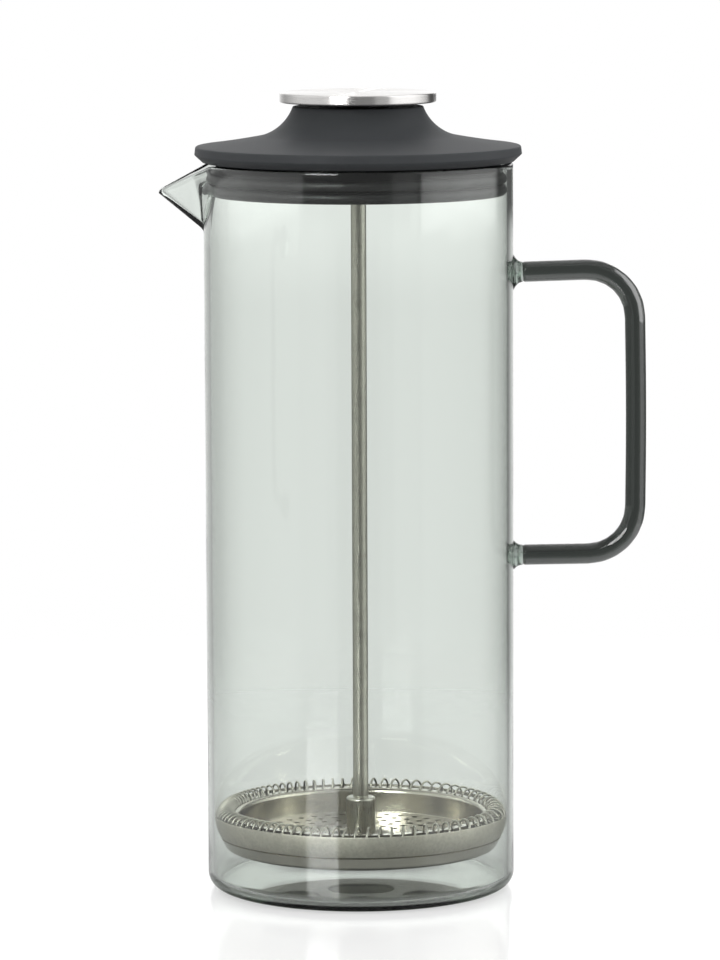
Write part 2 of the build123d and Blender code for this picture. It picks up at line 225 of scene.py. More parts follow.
# ================================================================= shapes
def box_of(node):
    """Lowest and highest corners of a CAD node, as arrays."""
    low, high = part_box(node)
    return np.array(low), np.array(high)


def pairs(first, second):
    """Points of a profile, from its two coordinates."""
    return np.stack((first, second), axis=-1)


def full_turn(count):
    """Angles spread evenly round a full turn, from 0."""
    return np.linspace(0, 2 * np.pi, count, endpoint=False)


def add_object(name, data):
    """A new object in the scene, at the origin."""
    made = bpy.data.objects.new(name, data)
    bpy.context.scene.collection.objects.link(made)
    return made


def add_piece(name, points, faces):
    """A smooth mesh object at the origin, turned so that its faces point outwards.

    The sign of the volume that the faces enclose, summed over fans of triangles, says which way they point.
    """
    volume = 0.0
    for group in faces:
        for second in range(1, group.shape[1] - 1):
            a, b, c = (points[group[:, corner]] for corner in (0, second, second + 1))
            volume += np.einsum("ij,ij->", a, np.cross(b, c))
    if volume < 0:
        faces = [group[:, ::-1] for group in faces]
    mesh = bpy.data.meshes.new(name)
    mesh.from_pydata(points.tolist(), [], [face for group in faces for face in group.tolist()])
    mesh.shade_smooth()
    return add_object(name, mesh)


def skin(name, grid, first_tip=None, last_tip=None, ring=False):
    """Surface over grid[row, column]: the columns close round each row, and ring closes the rows as well.

    A tip is a point that closes the first or the last row with a fan.
    """
    rows, columns = grid.shape[:2]
    index = np.arange(rows * columns).reshape(rows, columns)
    if ring:
        index = np.vstack((index, index[:1]))
    ahead = np.roll(index, -1, axis=1)
    faces = [np.stack((index[:-1], ahead[:-1], ahead[1:], index[1:]), axis=-1).reshape(-1, 4)]
    points = grid.reshape(-1, 3)
    for row, near, far, tip in ((0, ahead, index, first_tip), (-1, index, ahead, last_tip)):
        if tip is not None:
            faces.append(np.stack((near[row], far[row], np.full(columns, len(points))), axis=-1))
            points = np.vstack((points, tip))
    return add_piece(name, points, faces)


def turned(name, profile, columns):
    """Profile of (radius, height) points turned round the Z axis.

    Ends on the axis become tips, and a profile that doesn't start there is closed to a ring.
    """
    profile = np.asarray(profile)
    on_axis = profile[0, 0] == 0
    wall = profile[1:-1] if on_axis else profile
    angle = full_turn(columns)
    radius, height = wall[:, :1], wall[:, 1:]
    grid = np.stack((radius * np.cos(angle), radius * np.sin(angle), height + 0 * angle), axis=-1)
    if on_axis:
        return skin(name, grid, (0, 0, profile[0, 1]), (0, 0, profile[-1, 1]))
    return skin(name, grid, ring=True)


def arc(centre, radius, start, end, steps=ARC_STEPS):
    """Points on a circle in the profile plane, from one angle to another."""
    angle = np.linspace(start, end, steps)
    return pairs(centre[0] + radius * np.cos(angle), centre[1] + radius * np.sin(angle))


def rounded(corners, radii, closed=False):
    """Profile through the corners, each rounded by an arc of its radius.

    At a corner between unit directions u (back) and v (ahead) the arc starts at radius / tan(half the angle
    between them) from the corner, and its centre lies on the line that halves the angle. Each arc gets one
    more point on either side where there is room for it.
    """
    corners = np.asarray(corners, float)
    count = len(corners)
    runs = []
    for number, (corner, radius) in enumerate(zip(corners, radii)):
        at_end = number in (0, count - 1) and not closed
        if at_end or radius == 0:
            runs.append(corner[None])
            continue
        back = corners[number - 1] - corner
        ahead = corners[(number + 1) % count] - corner
        back_length, ahead_length = np.linalg.norm(back), np.linalg.norm(ahead)
        back, ahead = back / back_length, ahead / ahead_length
        half = np.arccos(np.clip(back @ ahead, -1, 1)) / 2
        setback = radius / np.tan(half)
        middle = corner + (back + ahead) / np.linalg.norm(back + ahead) * radius / np.sin(half)
        first = corner + back * setback - middle
        last = corner + ahead * setback - middle
        turn = np.linspace(0, 1, ARC_STEPS)[:, None]
        sweep = np.pi - 2 * half
        curve = (np.sin((1 - turn) * sweep) * first + np.sin(turn * sweep) * last) / np.sin(sweep) + middle
        parts = [curve]
        if back_length > 3 * (setback + EDGE_SUPPORT):
            parts.insert(0, (corner + back * (setback + EDGE_SUPPORT))[None])
        if ahead_length > 3 * (setback + EDGE_SUPPORT):
            parts.append((corner + ahead * (setback + EDGE_SUPPORT))[None])
        runs.append(np.vstack(parts))
    return np.vstack(runs)


def tangent_arc(start, direction, end, steps):
    """Arc that leaves start along direction and ends at end, and the direction in which it arrives.

    Its centre is start + radius * normal, where radius = |end - start|^2 / (2 * normal . (end - start)).
    """
    start, end = np.asarray(start, float), np.asarray(end, float)
    direction = np.asarray(direction, float) / np.linalg.norm(direction)
    normal = np.array((-direction[1], direction[0]))
    chord = end - start
    radius = chord @ chord / (2 * normal @ chord)
    centre = start + radius * normal
    turn = 2 * np.arctan2(normal @ chord, direction @ chord)
    angle = np.linspace(0, turn, steps)[:, None]
    along = np.sin(angle) * direction - np.cos(angle) * normal
    leaving = np.cos(turn) * direction + np.sin(turn) * normal
    return centre + radius * along, leaving


def beside(line, distance):
    """The line moved to its left by the distance."""
    step = np.gradient(line, axis=0)
    step /= np.linalg.norm(step, axis=1, keepdims=True)
    return line + pairs(-step[:, 1], step[:, 0]) * distance


def thickened(line, thickness):
    """Closed profile of a sheet: the line, and the line moved to its left by the thickness."""
    return np.vstack((line, beside(line, thickness)[::-1]))


def drawn(path, radii, side, columns, ring=False):
    """Grid of a tube of given radii along a path, which closes on itself where ring is true.

    side is one vector per point, made square to the path here. A point of the skin is
    path + radius * (cos a * side + sin a * (tangent x side)).
    """
    if ring:
        tangent = np.roll(path, -1, axis=0) - np.roll(path, 1, axis=0)
    else:
        tangent = np.gradient(path, axis=0)
    tangent /= np.linalg.norm(tangent, axis=1, keepdims=True)
    side = side - np.sum(side * tangent, axis=1, keepdims=True) * tangent
    side /= np.linalg.norm(side, axis=1, keepdims=True)
    other = np.cross(tangent, side)
    angle = full_turn(columns)[None, :, None]
    spokes = np.cos(angle) * side[:, None] + np.sin(angle) * other[:, None]
    return path[:, None] + np.asarray(radii)[:, None, None] * spokes


# ================================================================= shader maths
class Signal:
    """A node's output. Arithmetic on it adds Math nodes."""

    def __init__(self, finish, socket):
        self.finish = finish
        self.socket = socket

    def __add__(self, other):
        return self.finish.maths("ADD", self, other)

    def __radd__(self, other):
        return self.finish.maths("ADD", other, self)

    def __sub__(self, other):
        return self.finish.maths("SUBTRACT", self, other)

    def __rsub__(self, other):
        return self.finish.maths("SUBTRACT", other, self)

    def __mul__(self, other):
        return self.finish.maths("MULTIPLY", self, other)

    def __rmul__(self, other):
        return self.finish.maths("MULTIPLY", other, self)

    def __truediv__(self, other):
        return self.finish.maths("DIVIDE", self, other)

    def __neg__(self):
        return self.finish.maths("MULTIPLY", self, -1.0)

    def __lt__(self, other):
        return self.finish.maths("LESS_THAN", self, other)

    def __gt__(self, other):
        return self.finish.maths("GREATER_THAN", self, other)

    def __or__(self, other):
        return self.finish.maths("MAXIMUM", self, other)

    def sine(self):
        return self.finish.maths("SINE", self)

    def size(self):
        return self.finish.maths("ABSOLUTE", self)


class Finish:
    """The node tree of a material or of the world."""

    def __init__(self, owner):
        owner.use_nodes = True
        self.tree = owner.node_tree
        self.tree.nodes.clear()

    def node(self, kind, settings=None, values=None, output=0):
        """Adds a node, with its settings and then its sockets' values or links. Returns one output."""
        made = self.tree.nodes.new(kind)
        for name, setting in (settings or {}).items():
            if name == "stops":
                for number, (position, colour) in enumerate(setting):
                    stops = made.color_ramp.elements
                    stop = stops[number] if number < len(stops) else stops.new(position)
                    stop.position, stop.color = position, colour
            else:
                setattr(made, name, setting)
        for name, value in (values or {}).items():
            if isinstance(value, Signal):
                self.tree.links.new(value.socket, made.inputs[name])
            else:
                made.inputs[name].default_value = value
        return Signal(self, made.outputs[output]) if made.outputs else None

    def maths(self, operation, first, second=0.0):
        """Result of a Math node."""
        return self.node("ShaderNodeMath", {"operation": operation}, {0: first, 1: second})

    def parts(self, vector, axes=(0, 1, 2)):
        """The parts of a vector along some axes."""
        return [self.node("ShaderNodeSeparateXYZ", None, {0: vector}, axis) for axis in axes]

    def place(self):
        """Object coordinates, and x, y and z apart."""
        place = self.node("ShaderNodeTexCoord", output="Object")
        return place, self.parts(place)

    def from_axis(self, x, y):
        """Distance from the Z axis."""
        return self.node("ShaderNodeVectorMath", {"operation": "LENGTH"}, {0: self.joined(x, y, 0.0)}, 1)

    def step(self, value, low, high):
        """0 below low, 1 above high, and a smooth step between."""
        settings = {"interpolation_type": "SMOOTHSTEP"}
        return self.node("ShaderNodeMapRange", settings, {"Value": value, "From Min": low, "From Max": high})

    def noise(self, vector, scale, detail=2.0, roughness=0.5):
        """Smooth random pattern from 0 to 1."""
        values = {"Vector": vector, "Scale": scale, "Detail": detail, "Roughness": roughness}
        return self.node("ShaderNodeTexNoise", None, values)

    def mixed(self, share, first, second):
        """Colour between two colours."""
        return self.node("ShaderNodeMix", {"data_type": "RGBA"}, {0: share, 6: first, 7: second}, 2)

    def joined(self, x, y, z):
        """Vector of three numbers."""
        return self.node("ShaderNodeCombineXYZ", None, {0: x, 1: y, 2: z})

    def bump(self, height, distance, strength=1.0):
        """Normal tilted by a height of 0 to 1, which stands for a distance in metres."""
        values = {"Height": height, "Distance": distance, "Strength": strength}
        return self.node("ShaderNodeBump", None, values)

    def surface(self, **values):
        """Principled surface, linked to the output. Names are the sockets' own, with _ for a space."""
        named = {name.replace("_", " "): value for name, value in values.items()}
        shader = self.node("ShaderNodeBsdfPrincipled", None, named)
        self.node("ShaderNodeOutputMaterial", None, {"Surface": shader})
        return shader


def rgb(red, green, blue):
    """Colour given as it looks on a screen, 0 to 255, made linear for a shader."""
    share = np.array((red, green, blue)) / 255
    linear = np.where(share <= 0.04045, share / 12.92, ((share + 0.055) / 1.055) ** 2.4)
    return (*linear.tolist(), 1.0)


def new_finish(name):
    """A material and its node tree."""
    material = bpy.data.materials.new(name)
    return material, Finish(material)


# ================================================================= finishes
GLASS_IOR = 1.47
GLOSS_IOR = 2.0                 # of the handle's extra gloss
STREAK_START = (0.3, 0.42)      # parts of the normal along +X between which the handle's streak comes in
STREAK_END = (0.66, 0.78)
GLOSS_UNDERNEATH = (0.15, 0.4)  # and along -Z, for what faces down
CORNER_CLEARNESS = 0.2
CORNER_EASING = 0.001           # width over which it comes in
CORNER_HEIGHTS = (0.7, 1.2)     # between which it ends, as shares of the corner's radius
BEAKER_TINT = (0.37, 0.62, 0.39, 1.0)
BEAKER_DENSITY = 20.0
BEAKER_SURFACE = (0.950, 0.972, 0.953, 1.0)   # what a wall lets through besides
HANDLE_TINT = (0.30, 0.33, 0.31, 1.0)
HANDLE_DENSITY = 700.0
FOOT_TINT = (0.42, 0.50, 0.45, 1.0)
FOOT_DENSITY = 260.0
SMALLEST_RADIUS = 0.0005        # at which the lines round a piece stop closing up towards its axis
LINE_RADIUS = 0.01              # at which those lines have their plain scale
WIRES_ROUND = 620.0             # of the screen, in a full turn
WIRES_UP = 11500.0              # radians of the weave's wave per metre


def handle_gloss(finish):
    """Share of extra gloss on the handle: all that faces down, and a streak down its outer half."""
    normal = finish.node("ShaderNodeNewGeometry", output="Normal")
    x, z = finish.parts(normal, (0, 2))
    streak = finish.step(x, *STREAK_START) * (1 - finish.step(x, *STREAK_END))
    return streak | finish.step(-z, *GLOSS_UNDERNEATH)


def clear_corner(finish):
    """Less cover at the beaker's rounded foot, which would trap light that a real one lets out."""
    _, (x, y, z) = finish.place()
    foot_radius = GLASS_RADIUS - BASE_CORNER_ROUND
    foot = finish.step(finish.from_axis(x, y), foot_radius, foot_radius + CORNER_EASING)
    low, high = (share * BASE_CORNER_ROUND for share in CORNER_HEIGHTS)
    return 1 - CORNER_CLEARNESS * foot * (1 - finish.step(z, low, high))


def tinted_glass(name, tint, density, surface=(1, 1, 1, 1), gloss=None, cover=None):
    """Clear hard glass that takes up light inside it, with a slow unevenness left by blowing."""
    material, finish = new_finish(name)
    place, _ = finish.place()
    waves = finish.noise(place, scale=45.0, detail=1.0)
    shader = finish.node(
        "ShaderNodeBsdfPrincipled",
        None,
        {
            "Base Color": surface,
            "Roughness": 0.0,
            "IOR": GLASS_IOR,
            "Transmission Weight": 1.0,
            "Coat Weight": gloss(finish) if gloss else 0.0,
            "Coat IOR": GLOSS_IOR,
            "Alpha": cover(finish) if cover else 1.0,
            "Normal": finish.bump(waves, distance=0.00006, strength=0.6),
        },
    )
    inside = finish.node("ShaderNodeVolumeAbsorption", None, {"Color": tint, "Density": density})
    finish.node("ShaderNodeOutputMaterial", None, {"Surface": shader, "Volume": inside})
    return material


def matte_cover():
    """Charcoal moulding with a fine spark-eroded grain and a dull sheen."""
    material, finish = new_finish("matte_cover")
    place, _ = finish.place()
    grain = finish.noise(place, scale=2600.0, detail=3.0, roughness=0.65)
    cloud = finish.noise(place, scale=70.0, detail=3.0)
    colour = finish.mixed(cloud, rgb(62, 64, 66), rgb(68, 70, 72))
    finish.surface(
        Base_Color=colour,
        Roughness=0.52 + 0.12 * grain,
        Specular_IOR_Level=0.2,
        Normal=finish.bump(grain, distance=0.00004, strength=0.5),
    )
    return material


def black_moulding(name, level, roughness):
    """Near-black rubber, plastic or coating with faint drawn lines round it."""
    material, finish = new_finish(name)
    place, (x, y, z) = finish.place()
    lines = finish.noise(finish.joined(0.02 * x, 0.02 * y, z), scale=1800.0)
    grain = finish.noise(place, scale=1500.0)
    colour = finish.mixed(grain, rgb(level, level, level + 1), rgb(level + 7, level + 8, level + 9))
    finish.surface(
        Base_Color=colour,
        Roughness=roughness + 0.14 * lines,
        Normal=finish.bump(lines, distance=0.00002, strength=0.5),
    )
    return material


def brushed_steel(name, bright, dull, roughness, along=(1.0, 1.0, 1.0), depth=0.0, stretch=0.0):
    """Steel with fine lines.

    along says how fast the lines change: round the piece, across it, and in height. stretch is how much a
    reflection is drawn out across lines that run round the piece.
    """
    material, finish = new_finish(name)
    place, (x, y, z) = finish.place()
    radius = finish.from_axis(x, y)
    clear = radius | SMALLEST_RADIUS
    round_scale, across_scale, height_scale = along
    lines_place = finish.joined(
        round_scale * LINE_RADIUS * (x / clear),
        round_scale * LINE_RADIUS * (y / clear),
        across_scale * radius + height_scale * z,
    )
    lines = finish.noise(lines_place, scale=1500.0, detail=3.0, roughness=0.6)
    cloud = finish.noise(place, scale=160.0, detail=3.0)
    finish.surface(
        Base_Color=finish.mixed(0.65 * lines + 0.35 * cloud, rgb(*dull), rgb(*bright)),
        Metallic=1.0,
        Roughness=roughness + 0.12 * lines + 0.05 * cloud,
        Anisotropic=stretch,
        Anisotropic_Rotation=0.25,
        Normal=finish.bump(lines, distance=depth, strength=0.6),
    )
    return material


def woven_steel():
    """Fine wire cloth: two sets of wires cross over and under, round the filter and up its side."""
    material, finish = new_finish("woven_steel")
    place, (x, y, z) = finish.place()
    angle = finish.maths("ARCTAN2", y, x)
    round_wave = (angle * WIRES_ROUND).sine()
    up_wave = ((z + 0.5 * finish.from_axis(x, y)) * WIRES_UP).sine()
    weave = 0.5 + 0.5 * (round_wave * up_wave)
    holes = round_wave.size() * up_wave.size()
    cloud = finish.noise(place, scale=260.0, detail=3.0)
    thread = finish.noise(place, scale=1100.0)
    shade = 0.35 * holes + 0.25 * cloud + 0.4 * thread
    finish.surface(
        Base_Color=finish.mixed(shade, rgb(148, 143, 130), rgb(242, 238, 225)),
        Metallic=1.0,
        Roughness=0.42 + 0.12 * cloud,
        Normal=finish.bump(weave, distance=0.00006, strength=0.8),
    )
    return material


def spring_wire():
    """Bright drawn wire, lightly scuffed."""
    material, finish = new_finish("spring_wire")
    place, _ = finish.place()
    scuffs = finish.noise(place, scale=900.0, detail=3.0, roughness=0.6)
    finish.surface(
        Base_Color=finish.mixed(scuffs, rgb(165, 162, 151), rgb(208, 205, 194)),
        Metallic=1.0,
        Roughness=0.32 + 0.16 * scuffs,
        Normal=finish.bump(scuffs, distance=0.00001, strength=0.4),
    )
    return material


# ================================================================= jug
beaker_low, beaker_high = box_of("glass_beaker")
_, handle_high = box_of("glass_handle")
GLASS_RADIUS = beaker_high[1]
BORE_RADIUS = GLASS_RADIUS - GLASS_WALL
RIM_HEIGHT = beaker_high[2]
BEAK_TIP = -beaker_low[0]
BEAK_FULL_REACH = (BEAK_TIP - GLASS_RADIUS) * BEAK_FOOT_DROP / (BEAK_FOOT_DROP - BEAK_TIP_DROP - RIM_ROUND)
LIP_ROOT = GLASS_RADIUS * np.cos(BEAK_ROOT_HALF_ANGLE)
LIP_FALL = BEAK_TIP_DROP / (BEAK_TIP - LIP_ROOT)


def blended(wall, cone, angle, height):
    """The larger of two radii, with the corner where they cross filled by a parabola.

    Its width grows from the ridge to the roots as a smooth step of the angle, and from the foot to the rim.
    """
    share = np.clip(np.abs(angle) / BEAK_ROOT_HALF_ANGLE, 0, 1)
    rise = np.clip((height - RIM_HEIGHT) / BEAK_FOOT_DROP + 1, 0, 1)
    width = BEAK_BLEND_RIDGE + (BEAK_BLEND_ROOT - BEAK_BLEND_RIDGE) * share**2 * (3 - 2 * share) * rise
    near = np.maximum(width - np.abs(wall - cone), 0) / width
    return np.maximum(wall, cone) + near**2 * width / 4


def beak_radius(angle, height, wall, tip, tip_round, foot):
    """How far out the beak's cone reaches at an angle from its ridge and at a height.

    A level outline is the two lines from the wall at the roots that touch the tip's circle. All its sizes
    but the wall's radius grow in proportion with the height above the foot. A line at normal angle b and
    distance d from the axis has the radius d / cos(angle - b).
    """
    share = (height - foot) / (RIM_HEIGHT - foot)
    half_width = wall * np.sin(BEAK_ROOT_HALF_ANGLE)
    tip_middle = tip - tip_round
    deep = tip_middle - wall * np.cos(BEAK_ROOT_HALF_ANGLE)
    across = np.hypot(deep, half_width)
    slant = np.arccos(-tip_round / across) - np.arctan2(half_width, deep)
    middle = wall + share * (tip_middle - wall)
    small = share * tip_round
    angle = np.abs(angle)
    line = (np.cos(slant) * middle + small) / np.cos(np.minimum(angle, slant) - slant)
    inside = np.maximum(small**2 - (middle * np.sin(angle)) ** 2, 0)
    circle = middle * np.cos(angle) + np.sqrt(inside)
    touch = np.arctan2(small * np.sin(slant), middle + small * np.cos(slant))
    return np.where((share > 0) & (angle < touch), circle, line)


def outer_radius(angle, height):
    """Radius of the glass outside."""
    tip = GLASS_RADIUS + BEAK_FULL_REACH
    cone = beak_radius(angle, height, GLASS_RADIUS, tip, BEAK_TIP_ROUND, RIM_HEIGHT - BEAK_FOOT_DROP)
    return blended(GLASS_RADIUS, cone, angle, height)


def inner_radius(angle, height):
    """Radius of the glass inside."""
    tip = GLASS_RADIUS + BEAK_FULL_REACH - BEAK_WALL
    foot = RIM_HEIGHT - BEAK_FOOT_DROP + BEAK_FOOT_LAG
    cone = beak_radius(angle, height, BORE_RADIUS, tip, BEAK_TIP_ROUND - BEAK_WALL, foot)
    return blended(BORE_RADIUS, cone, angle, height)


def lip_height(angle, radius_at):
    """Height of the lip over a wall, which falls in a straight line beyond the roots.

    It is rim - fall * (radius * cos(angle) - root), where the radius depends on the height, so it is found
    by repeated insertion.
    """
    height = np.full_like(angle, RIM_HEIGHT - RIM_ROUND)
    for _ in range(LIP_ROUNDS):
        reach = radius_at(angle, height) * np.cos(angle)
        height = RIM_HEIGHT - RIM_ROUND - np.maximum(reach - LIP_ROOT, 0) * LIP_FALL
    return height


def beaker_grid():
    """Rows from the middle of the underside, up outside, over the lip and down inside to the floor's middle.

    The angle from the ridge is e - crowding * sin(e), where e grows evenly from minus to plus half a turn,
    so that the columns stand close together at the beak.
    """
    even = np.linspace(-np.pi, np.pi, WALL_COLUMNS, endpoint=False)
    angle = even - BEAK_CROWDING * np.sin(even)
    outer_lip = lip_height(angle, outer_radius)
    inner_lip = lip_height(angle, inner_radius)

    foot_radius = GLASS_RADIUS - BASE_CORNER_ROUND
    hollow = np.linspace(MIDDLE_RINGS[0], 1, HOLLOW_ROWS) * (foot_radius - BASE_RING_WIDTH)
    hollow_rise = BASE_HOLLOW * (1 + np.cos(np.pi * hollow / hollow[-1])) / 2
    ring = foot_radius - BASE_RING_WIDTH * np.array(BASE_RINGS)
    corner = arc((foot_radius, BASE_CORNER_ROUND), BASE_CORNER_ROUND, -np.pi / 2, 0, CORNER_ROWS)
    base = np.vstack((pairs(hollow, hollow_rise), pairs(ring, 0 * ring), corner))

    beak_start = RIM_HEIGHT - BEAK_FOOT_DROP - BLEND_REACH * BEAK_BLEND_ROOT
    shaft = np.linspace(BASE_CORNER_ROUND, beak_start, SHAFT_ROWS)[1:]
    share = np.linspace(0, 1, BEAK_ROWS)[1:, None]
    outside = np.vstack((shaft[:, None] + 0 * angle, beak_start + share * (outer_lip - beak_start)))
    outside_radius = outer_radius(angle, outside)

    inside = np.vstack((shaft[1:, None] + 0 * angle, beak_start + share * (inner_lip - beak_start)))[::-1]
    inside_radius = inner_radius(angle, inside)

    turn = np.linspace(0, np.pi, RIM_ROWS)[1:-1, None]
    lean = (1 + np.cos(turn)) / 2
    rim_radius = lean * outside_radius[-1] + (1 - lean) * inside_radius[0]
    rim_level = lean * outer_lip + (1 - lean) * inner_lip
    rim_height = rim_level + RIM_ROUND * np.sin(turn)

    floor_radius = BORE_RADIUS - FLOOR_CORNER_ROUND
    corner_middle = (floor_radius, GLASS_FLOOR + FLOOR_CORNER_ROUND)
    inner_corner = arc(corner_middle, FLOOR_CORNER_ROUND, 0, -np.pi / 2, FLOOR_CORNER_ROWS)
    floor = np.linspace(1, MIDDLE_RINGS[1], FLOOR_ROWS)[1:] * floor_radius
    bottom = np.vstack((inner_corner, pairs(floor, GLASS_FLOOR + 0 * floor)))

    radius = np.vstack(
        (base[:, :1] + 0 * angle, outside_radius, rim_radius, inside_radius, bottom[:, :1] + 0 * angle)
    )
    height = np.vstack((base[:, 1:] + 0 * angle, outside, rim_height, inside, bottom[:, 1:] + 0 * angle))
    return np.stack((-radius * np.cos(angle), radius * np.sin(angle), height), axis=-1)


def handle_line():
    """Line of the handle's middle as (x, z), from weld to weld: two arms and a slightly bowed upright."""
    upright = handle_high[0] - HANDLE_ROD / 2
    reach = upright - GLASS_RADIUS
    corners = (
        (BORE_RADIUS, HANDLE_TOP_WELD),
        (upright - HANDLE_TOP_LEAN, HANDLE_TOP_WELD + reach * np.tan(HANDLE_TOP_SLOPE)),
        (upright, (HANDLE_TOP_WELD + HANDLE_BOTTOM_WELD) / 2),
        (upright - HANDLE_BOTTOM_LEAN, HANDLE_BOTTOM_WELD + reach * np.tan(HANDLE_BOTTOM_SLOPE)),
        (BORE_RADIUS, HANDLE_BOTTOM_WELD),
    )
    line = rounded(corners, (0, HANDLE_TOP_ROUND, HANDLE_BOW, HANDLE_BOTTOM_ROUND, 0))
    step = np.linalg.norm(np.diff(line, axis=0), axis=1)
    travelled = np.concatenate(([0], np.cumsum(step)))
    wanted = np.linspace(0, travelled[-1], HANDLE_ROWS)
    even = np.stack([np.interp(wanted, travelled, line[:, axis]) for axis in range(2)], axis=-1)
    smooth = np.array(HANDLE_EASING) / np.sum(HANDLE_EASING)
    inner = np.stack([np.convolve(even[:, axis], smooth, "valid") for axis in range(2)], axis=-1)
    return np.vstack((even[:2], inner, even[-2:]))


def make_handle():
    """Rod of glass between its two clear feet."""
    line = handle_line()
    line = line[line[:, 0] > GLASS_RADIUS + WELD_LENGTH + 2 * WELD_GAP]
    path = np.stack((line[:, 0], 0 * line[:, 0], line[:, 1]), axis=-1)
    side = np.tile((0.0, 1.0, 0.0), (len(path), 1))
    radii = np.full(len(path), HANDLE_ROD / 2)
    radii[[0, -1]] -= ROD_END_ROUND
    return skin("handle", drawn(path, radii, side, HANDLE_COLUMNS), path[0], path[-1])


def make_foot(name, height, slope, foot_radius):
    """Clear foot that joins the handle's rod to the wall.

    Its radius is rod radius + (foot radius - rod radius) * (1 - t)^2.2, where t goes from 0 at the wall to 1
    at its end. At t = 0 it lies just off the wall, at x = sqrt(wall radius^2 - y^2). At t = 1 it is flat.
    """
    rod_radius = HANDLE_ROD / 2
    t = np.linspace(0, 1, WELD_ROWS)[:, None]
    radius = rod_radius + (foot_radius - rod_radius) * (1 - t) ** WELD_FLARE
    inner = np.array(WELD_RINGS)[:, None] * foot_radius
    radius = np.vstack((inner, radius, ((WELD_END_RING * rod_radius,),)))
    share = np.vstack((0 * inner, t, t[-1:]))
    out = share * WELD_LENGTH
    angle = full_turn(WELD_COLUMNS)
    y = radius * np.cos(angle)
    wall = GLASS_RADIUS + WELD_GAP
    x = np.sqrt(wall**2 - y**2) * (1 - share) + wall * share + out
    middle = height + (out + GLASS_WALL) * np.tan(slope)
    grid = np.stack((x, y, middle + radius * np.sin(angle)), axis=-1)
    tips = [np.array((row[:, 0].max(), 0.0, row[:, 2].mean())) for row in (grid[0], grid[-1])]
    return skin(name, grid, *tips)


# ================================================================= lid
lid_low, lid_high = box_of("lid_shell")
plug_low, _ = box_of("lid_plug")
gasket_low, gasket_high = box_of("lid_gasket")
boss_low, boss_high = box_of("knob_boss")
disc_low, disc_high = box_of("knob_disc")
rod_low, rod_high = box_of("plunger_rod")
hub_low, hub_high = box_of("filter_hub")
screen_low, screen_high = box_of("mesh_screen")
cross_low, cross_high = box_of("cross_plate")
LID_BASE, NECK_TOP = lid_low[2], lid_high[2]
BRIM_RADIUS = lid_high[0]


def cover_profile():
    """Half section of the cover: neck, flare and brim outside, and the same moved in by the wall."""
    flare_foot = (NECK_RADIUS + FLARE_WIDTH, LID_BASE + FLARE_HEIGHT)
    brim_top = (BRIM_RADIUS - BRIM_EDGE_DRAFT, LID_BASE + BRIM_EDGE_HIGH)
    fall = (np.sin(NECK_SLOPE), -np.cos(NECK_SLOPE))
    flare, slope = tangent_arc((NECK_RADIUS, NECK_TOP), fall, flare_foot, FLARE_STEPS)
    brim, _ = tangent_arc(flare_foot, slope, brim_top, BRIM_STEPS)
    curve = np.vstack((flare, brim[1:]))
    inner = beside(curve, -LID_WALL)
    hole = boss_high[0] + BOSS_CLEARANCE
    plate_inside = NECK_TOP - LID_WALL
    edge_low = (BRIM_RADIUS, LID_BASE + BRIM_EDGE_LOW)
    edge_foot = (BRIM_RADIUS - BRIM_BEVEL, LID_BASE)
    edge_rounds = (0, BRIM_EDGE_ROUND, BRIM_EDGE_ROUND / 2, 0)
    outer_edge = rounded((curve[-3], curve[-1], edge_low, edge_foot), edge_rounds)[1:]
    neck_edge = rounded(((hole, NECK_TOP), curve[0], curve[3]), (0, NECK_EDGE_ROUND, 0))[1:-1]
    bevel_run = np.hypot(BRIM_BEVEL, BRIM_EDGE_LOW)
    inner_foot = (edge_foot[0] - LID_WALL * bevel_run / BRIM_EDGE_LOW, LID_BASE)
    under_plate = inner[:, 1] < plate_inside - PLATE_CLEAR
    inner = inner[under_plate & (inner[:, 0] < BRIM_RADIUS - BRIM_CLEAR * LID_WALL)]
    inner_edges = np.array((
        (inner[0, 0] - PLATE_CORNER, plate_inside),
        (hole + HIDDEN_BEVEL, plate_inside),
        (hole, plate_inside + HIDDEN_BEVEL),
        (hole, NECK_TOP - HIDDEN_BEVEL),
        (hole + HIDDEN_BEVEL, NECK_TOP),
    ))
    return np.vstack((neck_edge, curve[4:-3], outer_edge, inner_foot, inner[::-1], inner_edges))


def gasket_profile():
    """Ring of soft rubber: full round ribs towards the glass, a band behind them, and a hook under the plug.

    A rib is an arc through the band at both its ends, whose radius is
    (half its height squared + its depth squared) / (2 * its depth).
    """
    band = gasket_high[0] - RIB_DEPTH
    plug_radius = band - GASKET_BAND
    base = gasket_low[2]
    crest = gasket_high[0] + GASKET_CLOSER
    rib_round = ((RIB_HEIGHT / 2) ** 2 + RIB_DEPTH**2) / (2 * RIB_DEPTH)
    half = np.arcsin(RIB_HEIGHT / 2 / rib_round)
    ribs = [
        arc((crest - rib_round, base + (rib + 0.5) * RIB_HEIGHT), rib_round, -half, half, RIB_STEPS)
        for rib in range(RIB_COUNT)
    ]
    behind = (
        (band, gasket_high[2]),
        (plug_radius, gasket_high[2]),
        (plug_radius, plug_low[2]),
        (plug_radius - GASKET_HOOK, plug_low[2]),
        (plug_radius - GASKET_HOOK, base),
        (band - GASKET_STEP, base),
    )
    rounds = (0, STEEL_ROUND, HIDDEN_BEVEL, HIDDEN_BEVEL, STEEL_ROUND, 0)
    return np.vstack((*ribs, rounded(behind, rounds)))


# ================================================================= plunger
def disc_profile():
    """Flat round knob with softened edges and a blind hole for the rod."""
    corners = (
        (0, disc_low[2] + ROD_IN_DISC),
        (THREAD_HOLE, disc_low[2] + ROD_IN_DISC),
        (THREAD_HOLE, disc_low[2]),
        (disc_high[0], disc_low[2]),
        (disc_high[0], disc_high[2]),
        (0, disc_high[2]),
    )
    return rounded(corners, (0, THREAD_ROUND, THREAD_ROUND, KNOB_ROUND, KNOB_ROUND, 0))


